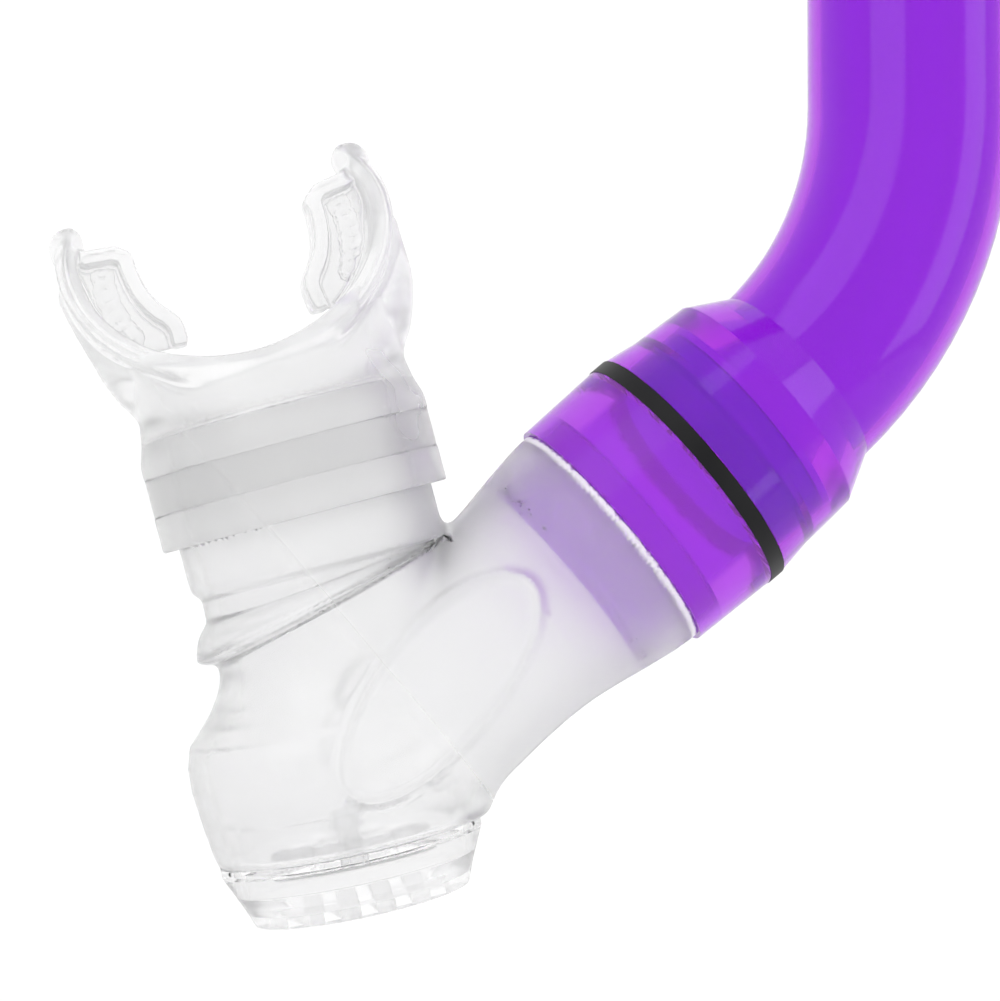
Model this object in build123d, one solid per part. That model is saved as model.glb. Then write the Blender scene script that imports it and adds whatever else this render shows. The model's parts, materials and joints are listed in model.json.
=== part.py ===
"""A purge snorkel with a swivel barrel, a flexible mouth arm, a strap keeper and a dry top.

Row frame, millimetres: +Z up along the barrel, X across the bend (the mouthpiece is towards -X).
The origin is the middle of the keeper clip's outer face, the face that the mask strap lies on.
"""

import os
from math import cos, radians, sin

from build123d import *

# ---- driving dimensions -------------------------------------------------------------------
# Fits
RUNNING_CLEARANCE = 0.05
FACE_GAP = 0.1
SNUG = 0.02
# Cutting shapes run this far past the faces they cut, and FAR is beyond the whole lower end
OVERSHOOT = 1.0
FAR = 160.0

# Barrel
TUBE_OD = 27.6
TUBE_WALL = 1.8
BEND_RADIUS = 51.0
BEND_ANGLE = 50.0
BEND_TOP_Z = -92.5
STRAIGHT_ABOVE_KEEPER = 150.0

# Bell at the barrel's lower end. Lengths run up its axis from the collar's rim.
BELL_REACH = 30.0
BELL_END = 14.3
BELL_SHOULDER_R = 17.0
BELL_END_PROUD = 1.2
BELL_WAIST = 19.0
BELL_WAIST_PROUD = 0.5
BELL_SHOULDER = 27.0
BELL_SHOULDER_TOP = 34.0
BELL_WALL = 1.8
# The cones' thin ends stop this far inside the tube's own surfaces, which bend away from them
BELL_BLEND = 0.6

# Swivel collar and its seal ring
COLLAR_RIM_PROUD = 0.75
COLLAR_TOP = 12.0
SEAL_LENGTH = 2.2
SEAL_PROUD = 0.1
SPIGOT_TOP = 23.0
SPIGOT_WALL = 1.6
SPIGOT_HEADROOM = 1.0
SNAP_BEAD_AT = 19.6
SNAP_BEAD_HEIGHT = 0.35
SNAP_BEAD_HALF_LENGTH = 0.9
NECK_SPIGOT_LENGTH = 9.0
NECK_SPIGOT_STEP = 0.25
BARB_AT = -7.6
BARB_HEIGHT = 0.5
COLLAR_SKIRT_WALL = 1.25

# Silicone lower body: a neck, a purge chamber and a corrugated arm that meet at one junction
SILICONE_WALL = 2.0
NECK_LENGTH = 42.4
NECK_LIP_STEP = 0.65
NECK_LIP_LENGTH = 1.1
NECK_TAPER = 0.9
NECK_FLARE_LENGTH = 10.0
NECK_PLUG_DEPTH = 4.0
ARM_TILT = 15.0
ARM_LENGTH = 30.8
ARM_R = 15.8
STUB_R = 17.0
STUB_LENGTH = 14.0
STUB_SKIRT = 4.0
INSERT_WALL = 1.5
PIVOT_SIDE = 17.6
PIVOT_DROP = 7.0
RIB_ANGLES = (10.0, 25.0)
RIB_R = 17.6
RIB_THICKNESS = 4.2
RIB_END_WALL = 1.0
FLEX_PLANE_ANGLE = 34.0

# Mouthpiece. Heights run up the arm's axis from the sleeve's rim.
SLEEVE_WALL = 1.9
SLEEVE_LENGTH = 15.0
BAND_FROM_RIM = 4.6
BAND_WIDTH = 5.0
BAND_DEPTH = 0.7
THROAT_TOP = 24.0
THROAT_WIDTH = 40.0
THROAT_HEIGHT = 26.0
THROAT_BORE_WIDTH = 25.0
THROAT_BORE_HEIGHT = 12.0
FLANGE_TIP = 45.0
FLANGE_BOTTOM = 20.6
FLANGE_HALF_WIDTH = 22.4
FLANGE_HEIGHT = 28.0
FLANGE_THICKNESS = 2.7
FLANGE_CORNER_R = 12.0
TAB_START = 29.0
TAB_END = 44.0
TAB_WIDTH = 6.5
TAB_THICKNESS = 2.6
TAB_ROOT = 0.3
TAB_RIDGE_WIDTH = 2.0
TAB_RIDGE_HEIGHT = 10.0

# Purge valve. Heights run up its axis from the cover's lower face.
PURGE_TILT = 11.5
PURGE_DROP = 20.8
PURGE_SIDE = 4.6
COVER_BOTTOM_R = 14.2
COVER_MIDDLE = 2.6
COVER_MIDDLE_R = 15.2
COVER_TOP = 6.9
COVER_TOP_R = 17.2
COVER_WALL = 1.5
COVER_SLOT_COUNT = 5
COVER_SLOT_WIDTH = 2.0
COVER_SLOT_PITCH = 4.4
COVER_SLOT_END = 4.0
SEAT_DISC = 2.0
SEAT_FLANGE = 1.2
SEAT_PLUG_LENGTH = 5.0
SEAT_SKIRT_LENGTH = 2.6
SEAT_WALL = 1.5
PORT_COUNT = 6
PORT_R = 2.2
PORT_CIRCLE_R = 6.2
MEMBRANE_R = 10.6
MEMBRANE_THICKNESS = 0.8
MEMBRANE_TRAVEL = 1.2
STEM_R = 1.5
STEM_BULB_R = 2.4
STEM_BULB_LENGTH = 2.2
CHAMBER_WIDEST = 18.0
CHAMBER_WIDEST_R = 18.8
CHAMBER_SHOULDER = 22.0
CHAMBER_TOP = 31.0
CHAMBER_TOP_R = 8.0

# Strap keeper
LINER_WALL = 1.4
LINER_FLANGE_WALL = 1.6
LINER_FLANGE_LENGTH = 1.5
KEEPER_COLLAR_HEIGHT = 15.0
KEEPER_COLLAR_WALL = 2.6
BOSS_R = 6.0
BOSS_LENGTH = 3.0
CLIP_THICKNESS = 3.2
CLIP_WIDTH = 34.0
CLIP_HEIGHT = 34.0
CLIP_WEB = 13.0
STRAP_SLOT_WIDTH = 6.0
STRAP_SLOT_HEIGHT = 27.0
CLIP_CORNER_R = 3.5
STRAP_SLOT_CORNER_R = 1.4
RIVET_R = 2.2
RIVET_IN_CLIP = 2.0
RIVET_HEAD_R = 3.8
RIVET_HEAD_LENGTH = 1.2

# Dry top. The valve seat's lower face is the plane the float's seal closes on.
BARREL_ABOVE_SEAT = 16.0
AIR_GAP = 3.6
SEAT_INNER_WALL = 1.2
SEAT_OUTER_WALL = 3.6
SEAT_RING_HEIGHT = 3.0
SEAT_SPOKE_COUNT = 6
SEAT_SPOKE_WIDTH = 1.6
SEAT_SPOKE_HEIGHT = 2.0
SPIGOT_HEIGHT = 5.0
SPIGOT_THICKNESS = 1.4
FLOAT_HEIGHT = 11.0
FLOAT_TRAVEL = 5.0
FLOAT_CLEARANCE = 0.5
FLOAT_SEAL_THICKNESS = 1.4
FLOAT_SEAL_LAP = 1.2
CAGE_HUB_WALL = 2.2
CAGE_HUB_HEIGHT = 8.0
CAGE_FLOOR = 2.2
CAGE_POST_COUNT = 8
CAGE_POST_WIDTH = 3.4
CAGE_DRAIN_R = 1.3
CAP_WALL = 1.8
CAP_HEADROOM = 9.0
CAP_EDGE_R = 5.0

# ---- derived sizes and places -------------------------------------------------------------
TUBE_R = TUBE_OD / 2
TUBE_BORE_R = TUBE_R - TUBE_WALL
BELL_END_R = BELL_SHOULDER_R + BELL_END_PROUD
BELL_WAIST_R = BELL_SHOULDER_R + BELL_WAIST_PROUD
COLLAR_TOP_R = BELL_END_R
COLLAR_RIM_R = BELL_SHOULDER_R + COLLAR_RIM_PROUD
BELL_BORE_R = BELL_SHOULDER_R - BELL_WALL
SPIGOT_R = BELL_BORE_R - RUNNING_CLEARANCE
SPIGOT_BORE_R = SPIGOT_R - SPIGOT_WALL
NECK_SPIGOT_R = SPIGOT_R - NECK_SPIGOT_STEP
NECK_PLUG_R = COLLAR_RIM_R - COLLAR_SKIRT_WALL
NECK_R = NECK_PLUG_R - NECK_TAPER
NECK_LIP_R = COLLAR_RIM_R - NECK_LIP_STEP

LINER_R = TUBE_R + RUNNING_CLEARANCE + LINER_WALL
KEEPER_BORE_R = LINER_R + RUNNING_CLEARANCE
KEEPER_R = KEEPER_BORE_R + KEEPER_COLLAR_WALL
BARREL_X = CLIP_THICKNESS + FACE_GAP + BOSS_LENGTH + KEEPER_R

SEAT_Z = STRAIGHT_ABOVE_KEEPER - BARREL_ABOVE_SEAT
SEAT_INNER_R = TUBE_R + SNUG + SEAT_INNER_WALL
SEAT_GAP_R = SEAT_INNER_R + AIR_GAP
SEAT_OUTER_R = SEAT_GAP_R + SEAT_OUTER_WALL
FLOAT_R = SEAT_GAP_R + FLOAT_SEAL_LAP
FLOAT_BORE_R = TUBE_R + FLOAT_CLEARANCE
FLOAT_BOTTOM = SEAT_Z - FLOAT_TRAVEL - FACE_GAP - FLOAT_SEAL_THICKNESS - FLOAT_HEIGHT

BEND_AXIS_X = BARREL_X - BEND_RADIUS
BELL_AXIS = Vector(sin(radians(BEND_ANGLE)), 0, cos(radians(BEND_ANGLE)))
BEND_END = Vector(BEND_AXIS_X + BEND_RADIUS * cos(radians(BEND_ANGLE)), 0,
                  BEND_TOP_Z - BEND_RADIUS * sin(radians(BEND_ANGLE)))
RIM = BEND_END - BELL_AXIS * BELL_REACH
JUNCTION = RIM - BELL_AXIS * NECK_LENGTH


def leaning(angle):
    """A direction that leans from +Z towards -X."""
    return Vector(-sin(radians(angle)), 0, cos(radians(angle)))


def frame_at(origin, up):
    """A frame with its Z along up and its Y along the row's Y."""
    return Plane(origin=origin, x_dir=Vector(0, 1, 0).cross(up), z_dir=up).location


ARM_AXIS = leaning(ARM_TILT)
ARM_SIDE = Vector(0, 1, 0).cross(ARM_AXIS)
SLEEVE_RIM = JUNCTION + ARM_AXIS * ARM_LENGTH
PIVOT = SLEEVE_RIM + ARM_SIDE * PIVOT_SIDE - ARM_AXIS * PIVOT_DROP
PURGE_AXIS = leaning(PURGE_TILT)
PURGE_BASE = JUNCTION - PURGE_AXIS * PURGE_DROP - Vector(PURGE_SIDE, 0, 0)
BELL_FRAME = frame_at(RIM, BELL_AXIS)
ARM_FRAME = frame_at(SLEEVE_RIM, ARM_AXIS)
PURGE_FRAME = frame_at(PURGE_BASE, PURGE_AXIS)
BARREL_FRAME = Pos(BARREL_X, 0, 0)


# ---- shape helpers ------------------------------------------------------------------------
def rod(radius, low, high):
    """A solid cylinder about Z between two heights."""
    return Pos(0, 0, low) * Cylinder(radius, high - low, align=(Align.CENTER, Align.CENTER, Align.MIN))


def ring(outer, inner, low, high):
    """A hollow cylinder about Z between two heights."""
    return rod(outer, low, high) - rod(inner, low - OVERSHOOT, high + OVERSHOOT)


def turned(*points):
    """The solid swept about Z by a closed outline of (radius, height) points."""
    outline = make_face(Polyline(*points, close=True))
    return revolve(Plane.XZ * outline, Axis.Z)


def block(width, depth, height, at=(0, 0, 0)):
    """A box centred on a point."""
    return Pos(*at) * Box(width, depth, height)


def around(count, shape):
    """Copies of a shape, evenly spaced about Z."""
    return [Rot(0, 0, 360 / count * step) * shape for step in range(count)]


# ---- barrel and swivel --------------------------------------------------------------------
def bent_tube(radius):
    """The barrel's straight and its bend, as a solid rod of one radius."""
    straight = Pos(BARREL_X, 0, 0) * rod(radius, BEND_TOP_Z, STRAIGHT_ABOVE_KEEPER)
    section = Pos(BARREL_X, 0, BEND_TOP_Z) * Circle(radius)
    bend = revolve(section, Axis((BEND_AXIS_X, 0, BEND_TOP_Z), (0, 1, 0)), BEND_ANGLE)
    return straight + bend


def bead(radius, height, half_length, middle):
    """A low ridge about Z that stands out from a cylinder of one radius."""
    low = middle - half_length
    high = middle + half_length
    root = radius - OVERSHOOT
    return turned((root, low), (radius, low), (radius + height, middle), (radius, high), (root, high))


def barrel():
    bell = turned((0, BELL_END), (BELL_END_R, BELL_END), (BELL_WAIST_R, BELL_WAIST),
                  (BELL_SHOULDER_R, BELL_SHOULDER), (TUBE_R - BELL_BLEND, BELL_SHOULDER_TOP),
                  (0, BELL_SHOULDER_TOP))
    cone_length = BELL_SHOULDER_TOP - BELL_SHOULDER
    bore_step = SPIGOT_TOP + SPIGOT_HEADROOM
    low = BELL_END - OVERSHOOT
    bore = turned((0, low), (BELL_BORE_R, low), (BELL_BORE_R, bore_step),
                  (TUBE_BORE_R - BELL_BLEND, bore_step + cone_length), (0, bore_step + cone_length))
    groove = bead(BELL_BORE_R, SNAP_BEAD_HEIGHT, SNAP_BEAD_HALF_LENGTH + FACE_GAP, SNAP_BEAD_AT)
    outside = bent_tube(TUBE_R) + BELL_FRAME * bell
    return outside - bent_tube(TUBE_BORE_R) - BELL_FRAME * (bore + groove)


def neck_barb(gap=0.0):
    return bead(NECK_SPIGOT_R + gap, BARB_HEIGHT, SNAP_BEAD_HALF_LENGTH + gap, BARB_AT)


def swivel_collar():
    low = -NECK_SPIGOT_LENGTH
    body = turned((SPIGOT_BORE_R, low), (NECK_SPIGOT_R, low), (NECK_SPIGOT_R, NECK_PLUG_DEPTH),
                  (NECK_PLUG_R, NECK_PLUG_DEPTH), (NECK_PLUG_R, 0), (COLLAR_RIM_R, 0),
                  (COLLAR_TOP_R, COLLAR_TOP), (SPIGOT_R, COLLAR_TOP), (SPIGOT_R, SPIGOT_TOP),
                  (SPIGOT_BORE_R, SPIGOT_TOP))
    snap = bead(SPIGOT_R, SNAP_BEAD_HEIGHT, SNAP_BEAD_HALF_LENGTH, SNAP_BEAD_AT)
    return BELL_FRAME * (body + snap + neck_barb())


def swivel_seal():
    seal_r = COLLAR_TOP_R + SEAL_PROUD
    return BELL_FRAME * ring(seal_r, SPIGOT_R + SNUG, COLLAR_TOP, COLLAR_TOP + SEAL_LENGTH)


# ---- silicone lower body ------------------------------------------------------------------
def neck_outside():
    plug_r = NECK_PLUG_R - SNUG
    return BELL_FRAME * turned((0, NECK_PLUG_DEPTH), (plug_r, NECK_PLUG_DEPTH), (plug_r, 0),
                               (NECK_LIP_R, 0), (NECK_LIP_R, -NECK_LIP_LENGTH),
                               (NECK_R, -NECK_FLARE_LENGTH), (NECK_R, -NECK_LENGTH), (0, -NECK_LENGTH))


def neck_bore():
    reach = NECK_PLUG_DEPTH + OVERSHOOT
    step = -NECK_SPIGOT_LENGTH
    inner = NECK_R - SILICONE_WALL
    grip = NECK_SPIGOT_R + SNUG
    bore = turned((0, reach), (grip, reach), (grip, step), (inner, step), (inner, -NECK_LENGTH),
                  (0, -NECK_LENGTH))
    return BELL_FRAME * (bore + neck_barb(SNUG))


def chamber_outside(wall=0.0):
    """The purge chamber's shape, shrunk by a wall thickness."""
    low = COVER_TOP + SEAT_FLANGE
    return PURGE_FRAME * turned((0, low), (COVER_TOP_R - wall, low),
                                (CHAMBER_WIDEST_R - wall, CHAMBER_WIDEST),
                                (CHAMBER_WIDEST_R - wall, CHAMBER_SHOULDER),
                                (CHAMBER_TOP_R, CHAMBER_TOP - wall), (0, CHAMBER_TOP - wall))


def fan_frame(angle, reach):
    """A frame at a reach from the flex pivot, in a plane that fans out from it."""
    up = leaning(angle)
    side = Vector(0, 1, 0).cross(up)
    return frame_at(PIVOT - side * reach, up)


def arm_outside():
    tube = ARM_FRAME * (rod(STUB_R, -STUB_SKIRT, STUB_LENGTH) + rod(ARM_R, -ARM_LENGTH, 0))
    for angle in RIB_ANGLES:
        tube += fan_frame(angle, RIB_R) * rod(RIB_R, -RIB_THICKNESS / 2, RIB_THICKNESS / 2)
    return tube


def arm_bore():
    insert_r = STUB_R - SILICONE_WALL
    socket = rod(insert_r, 0, STUB_LENGTH + OVERSHOOT)
    tube = ARM_FRAME * (socket + rod(ARM_R - SILICONE_WALL, -ARM_LENGTH, OVERSHOOT))
    for angle in RIB_ANGLES:
        half = RIB_THICKNESS / 2 - RIB_END_WALL
        tube += fan_frame(angle, RIB_R) * rod(RIB_R - SILICONE_WALL, -half, half)
    return tube


def lower_cavity():
    plug_bore = rod(COVER_TOP_R - SILICONE_WALL, COVER_TOP, COVER_TOP + SEAT_FLANGE + SEAT_PLUG_LENGTH)
    return neck_bore() + chamber_outside(SILICONE_WALL) + arm_bore() + PURGE_FRAME * plug_bore


def flex_side():
    """Everything on the mouthpiece's side of the flex plane, out to beyond the arm."""
    return fan_frame(FLEX_PLANE_ANGLE, 0) * block(FAR, FAR, FAR, (0, 0, FAR / 2))


def below_chamber():
    """The space that the purge valve takes up, below the silicone."""
    return PURGE_FRAME * rod(2 * CHAMBER_WIDEST_R, -CHAMBER_TOP, COVER_TOP + SEAT_FLANGE)


def flex_arm():
    return (arm_outside() & flex_side()) - neck_outside() - lower_cavity()


def lower_body():
    arm_root = arm_outside() - flex_side()
    return neck_outside() + chamber_outside() + arm_root - lower_cavity() - below_chamber()


def mouth_insert():
    insert_r = STUB_R - SILICONE_WALL
    return ARM_FRAME * ring(insert_r, insert_r - INSERT_WALL, 0, STUB_LENGTH)


# ---- mouthpiece ---------------------------------------------------------------------------
def arch(inset):
    """The plan of the lip flange's outside, a half oval that opens upwards, shrunk by an inset."""
    oval = Pos(0, FLANGE_TIP) * Ellipse(FLANGE_HALF_WIDTH - inset, FLANGE_TIP - FLANGE_BOTTOM - inset)
    return oval & (Pos(0, FLANGE_TIP - FAR / 2) * Rectangle(FAR, FAR))


def plan_extruded(plan, height):
    """A plan of the mouthpiece, given a height across the mouth."""
    return extrude(Plane.XZ * plan, height / 2, both=True)


def lip_flange():
    wall = plan_extruded(arch(0) - arch(FLANGE_THICKNESS), FLANGE_HEIGHT)
    outline = RectangleRounded(2 * FLANGE_HALF_WIDTH, FLANGE_HEIGHT, FLANGE_CORNER_R)
    return wall & extrude(outline, FLANGE_TIP)


def bite_tabs():
    edge = FLANGE_THICKNESS + TAB_WIDTH
    keep = Pos(0, (TAB_START + TAB_END) / 2) * Rectangle(FAR, TAB_END - TAB_START)
    plate = (arch(FLANGE_THICKNESS - TAB_ROOT) - arch(edge)) & keep
    ridge = (arch(edge - TAB_RIDGE_WIDTH) - arch(edge)) & keep
    return plan_extruded(plate, TAB_THICKNESS) + plan_extruded(ridge, TAB_RIDGE_HEIGHT)


def mouthpiece():
    bore_r = STUB_R + RUNNING_CLEARANCE
    sleeve_r = bore_r + SLEEVE_WALL
    sleeve = rod(sleeve_r, 0, SLEEVE_LENGTH)
    groove_r = sleeve_r + OVERSHOOT
    sleeve -= ring(groove_r, sleeve_r - BAND_DEPTH, BAND_FROM_RIM, BAND_FROM_RIM + BAND_WIDTH)
    oval = RectangleRounded(THROAT_WIDTH, THROAT_HEIGHT, FLANGE_CORNER_R)
    throat = loft([Pos(0, 0, SLEEVE_LENGTH) * Circle(sleeve_r), Pos(0, 0, THROAT_TOP) * oval])
    throat &= plan_extruded(Rectangle(FAR, FAR) - arch(FLANGE_THICKNESS), FAR)
    insert_bore = STUB_R - SILICONE_WALL - INSERT_WALL
    slot = RectangleRounded(THROAT_BORE_WIDTH, THROAT_BORE_HEIGHT, THROAT_BORE_HEIGHT / 2 - 0.1)
    socket_top = STUB_LENGTH + FACE_GAP
    bore = loft([Pos(0, 0, socket_top) * Circle(insert_bore), Pos(0, 0, THROAT_TOP + OVERSHOOT) * slot])
    body = sleeve + throat + lip_flange() + bite_tabs()
    return ARM_FRAME * (body - bore - rod(bore_r, -OVERSHOOT, socket_top))


def mouthpiece_band():
    sleeve_r = STUB_R + RUNNING_CLEARANCE + SLEEVE_WALL
    low = BAND_FROM_RIM + SNUG
    return ARM_FRAME * ring(sleeve_r, sleeve_r - BAND_DEPTH, low, BAND_FROM_RIM + BAND_WIDTH - SNUG)


# ---- purge valve --------------------------------------------------------------------------
def purge_cover():
    skirt_r = COVER_TOP_R - COVER_WALL
    skirt_low = COVER_TOP - SEAT_SKIRT_LENGTH - FACE_GAP
    cup = turned((0, 0), (COVER_BOTTOM_R, 0), (COVER_MIDDLE_R, COVER_MIDDLE), (COVER_TOP_R, COVER_TOP),
                 (skirt_r, COVER_TOP), (skirt_r, skirt_low), (COVER_MIDDLE_R - COVER_WALL, COVER_MIDDLE),
                 (COVER_BOTTOM_R - COVER_WALL, COVER_WALL), (0, COVER_WALL))
    middle = (COVER_SLOT_COUNT - 1) / 2
    for step in range(COVER_SLOT_COUNT):
        offset = (step - middle) * COVER_SLOT_PITCH
        length = 2 * (COVER_BOTTOM_R - COVER_WALL) - abs(offset) - COVER_SLOT_END
        cup -= block(COVER_SLOT_WIDTH, length, 4 * COVER_WALL, (offset, 0, 0))
    return PURGE_FRAME * cup


def purge_seat():
    skirt_r = COVER_TOP_R - COVER_WALL - SNUG
    plug_r = COVER_TOP_R - SILICONE_WALL
    disc_top = COVER_TOP + SEAT_DISC
    plug_bore_r = plug_r - SEAT_WALL
    seat = rod(COVER_TOP_R, COVER_TOP, COVER_TOP + SEAT_FLANGE) + rod(plug_bore_r, COVER_TOP, disc_top)
    seat += ring(plug_r, plug_bore_r, COVER_TOP, COVER_TOP + SEAT_FLANGE + SEAT_PLUG_LENGTH)
    seat += ring(skirt_r, skirt_r - SEAT_WALL, COVER_TOP - SEAT_SKIRT_LENGTH, COVER_TOP)
    seat -= rod(STEM_R + RUNNING_CLEARANCE, 0, disc_top + OVERSHOOT)
    for port in around(PORT_COUNT, Pos(PORT_CIRCLE_R, 0, 0) * rod(PORT_R, 0, disc_top + OVERSHOOT)):
        seat -= port
    return PURGE_FRAME * seat


def purge_membrane():
    disc_top = COVER_TOP - RUNNING_CLEARANCE
    bulb_low = COVER_TOP + SEAT_DISC + MEMBRANE_TRAVEL + FACE_GAP
    disc = rod(MEMBRANE_R, disc_top - MEMBRANE_THICKNESS, disc_top)
    stem = rod(STEM_R, disc_top, bulb_low)
    bulb = turned((0, bulb_low), (STEM_BULB_R, bulb_low), (STEM_R, bulb_low + STEM_BULB_LENGTH),
                  (0, bulb_low + STEM_BULB_LENGTH))
    return PURGE_FRAME * (disc + stem + bulb)


# ---- strap keeper -------------------------------------------------------------------------
def across(shape):
    """A shape made about Z, laid along X with its base at X = 0."""
    return Rot(0, 90, 0) * shape


def keeper_liner():
    half = KEEPER_COLLAR_HEIGHT / 2 + FACE_GAP
    end = half + LINER_FLANGE_LENGTH
    liner = rod(LINER_R, -half, half)
    for low in (-end, half):
        liner += rod(LINER_R + LINER_FLANGE_WALL, low, low + LINER_FLANGE_LENGTH)
    return BARREL_FRAME * (liner - rod(TUBE_R + RUNNING_CLEARANCE, -end - OVERSHOOT, end + OVERSHOOT))


def keeper_collar():
    half = KEEPER_COLLAR_HEIGHT / 2
    boss_face = CLIP_THICKNESS + FACE_GAP
    body = Pos(BARREL_X, 0, 0) * rod(KEEPER_R, -half, half)
    body += across(rod(BOSS_R, boss_face, BARREL_X))
    body -= Pos(BARREL_X, 0, 0) * rod(KEEPER_BORE_R, -half - OVERSHOOT, half + OVERSHOOT)
    body -= across(rod(RIVET_R + RUNNING_CLEARANCE, 0, BARREL_X))
    head_seat = BARREL_X - KEEPER_BORE_R - RIVET_HEAD_LENGTH - FACE_GAP
    return body - across(rod(RIVET_HEAD_R + FACE_GAP, head_seat, BARREL_X))


def keeper_rivet():
    head_high = BARREL_X - KEEPER_BORE_R - FACE_GAP / 2
    head_low = head_high - RIVET_HEAD_LENGTH
    head = rod(RIVET_HEAD_R, head_low, head_high)
    clear = BARREL_FRAME * rod(KEEPER_BORE_R, -BOSS_R, BOSS_R)
    return across(rod(RIVET_R, CLIP_THICKNESS - RIVET_IN_CLIP, head_high) + head) - clear


def keeper_clip():
    plate = RectangleRounded(CLIP_WIDTH, CLIP_HEIGHT, CLIP_CORNER_R)
    slot = RectangleRounded(STRAP_SLOT_WIDTH, STRAP_SLOT_HEIGHT, STRAP_SLOT_CORNER_R)
    offset = (CLIP_WEB + STRAP_SLOT_WIDTH) / 2
    plate -= Pos(offset, 0) * slot
    plate -= Pos(-offset, 0) * slot
    clip = extrude(Plane.YZ * plate, CLIP_THICKNESS)
    return clip - across(rod(RIVET_R, CLIP_THICKNESS - RIVET_IN_CLIP, CLIP_THICKNESS + OVERSHOOT))


# ---- dry top ------------------------------------------------------------------------------
def valve_seat():
    top = SEAT_Z + SEAT_RING_HEIGHT
    seat = ring(SEAT_INNER_R, TUBE_R + SNUG, SEAT_Z, top)
    seat += ring(SEAT_OUTER_R, SEAT_GAP_R, SEAT_Z, top)
    wall_r = SEAT_OUTER_R - CAP_WALL - SNUG
    seat += ring(wall_r, wall_r - SPIGOT_THICKNESS, SEAT_Z, top + SPIGOT_HEIGHT)
    length = AIR_GAP + SEAT_INNER_WALL
    middle_r = SEAT_INNER_R + AIR_GAP / 2
    bar = block(length, SEAT_SPOKE_WIDTH, SEAT_SPOKE_HEIGHT, (middle_r, 0, top - SEAT_SPOKE_HEIGHT / 2))
    for spoke in around(SEAT_SPOKE_COUNT, bar):
        seat += spoke
    return BARREL_FRAME * seat


def float_cage():
    hub_r = TUBE_R + SNUG + CAGE_HUB_WALL
    floor_low = FLOAT_BOTTOM - CAGE_FLOOR
    cage = ring(hub_r, TUBE_R + SNUG, FLOAT_BOTTOM - CAGE_HUB_HEIGHT, FLOAT_BOTTOM)
    cage += ring(SEAT_OUTER_R, TUBE_R + SNUG, floor_low, FLOAT_BOTTOM)
    post_r = FLOAT_R + FLOAT_CLEARANCE
    posts = ring(SEAT_OUTER_R, post_r, floor_low, SEAT_Z)
    bar = block(SEAT_OUTER_R, CAGE_POST_WIDTH, FAR, (TUBE_R + SEAT_OUTER_R / 2, 0, SEAT_Z))
    kept = Compound(around(CAGE_POST_COUNT, bar))
    cage += posts & kept
    drain_r = (hub_r + FLOAT_R) / 2
    drain = Pos(drain_r, 0, 0) * rod(CAGE_DRAIN_R, floor_low - OVERSHOOT, SEAT_Z)
    for hole in around(CAGE_POST_COUNT * 2, drain):
        cage -= hole
    return BARREL_FRAME * cage


def float_ring():
    high = FLOAT_BOTTOM + FLOAT_HEIGHT
    return BARREL_FRAME * ring(FLOAT_R, FLOAT_BORE_R, FLOAT_BOTTOM, high)


def float_seal():
    low = FLOAT_BOTTOM + FLOAT_HEIGHT
    return BARREL_FRAME * ring(FLOAT_R, FLOAT_BORE_R, low, low + FLOAT_SEAL_THICKNESS)


def top_cap():
    low = SEAT_Z + SEAT_RING_HEIGHT
    high = STRAIGHT_ABOVE_KEEPER + CAP_HEADROOM
    outside = rod(SEAT_OUTER_R, low, high)
    outside = fillet(outside.edges().group_by(Axis.Z)[-1], CAP_EDGE_R)
    inner_r = SEAT_OUTER_R - CAP_WALL
    inside = rod(inner_r, low - OVERSHOOT, high - CAP_WALL)
    inside = fillet(inside.edges().group_by(Axis.Z)[-1], CAP_EDGE_R - CAP_WALL)
    return BARREL_FRAME * (outside - inside)


NODES = {
    "barrel": barrel,
    "swivel_collar": swivel_collar,
    "swivel_seal": swivel_seal,
    "lower_body": lower_body,
    "flex_arm": flex_arm,
    "mouth_insert": mouth_insert,
    "mouthpiece": mouthpiece,
    "mouthpiece_band": mouthpiece_band,
    "purge_seat": purge_seat,
    "purge_membrane": purge_membrane,
    "purge_cover": purge_cover,
    "keeper_liner": keeper_liner,
    "keeper_collar": keeper_collar,
    "keeper_rivet": keeper_rivet,
    "keeper_clip": keeper_clip,
    "valve_seat": valve_seat,
    "float_cage": float_cage,
    "float_ring": float_ring,
    "float_seal": float_seal,
    "top_cap": top_cap,
}

if __name__ == "__main__":
    os.makedirs("parts", exist_ok=True)
    for name, make in NODES.items():
        shape = make()
        export_step(shape, f"parts/{name}.step")
        box = shape.bounding_box()
        corners = " ".join(f"{value:7.1f}" for value in (*box.min, *box.max))
        print(f"{name:16s} {len(shape.solids())} {shape.volume:10.1f}  {corners}")
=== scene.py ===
"""Looks of a purge snorkel: its clear silicone pieces as real surfaces, and a material on every piece."""
import json
import math

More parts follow.
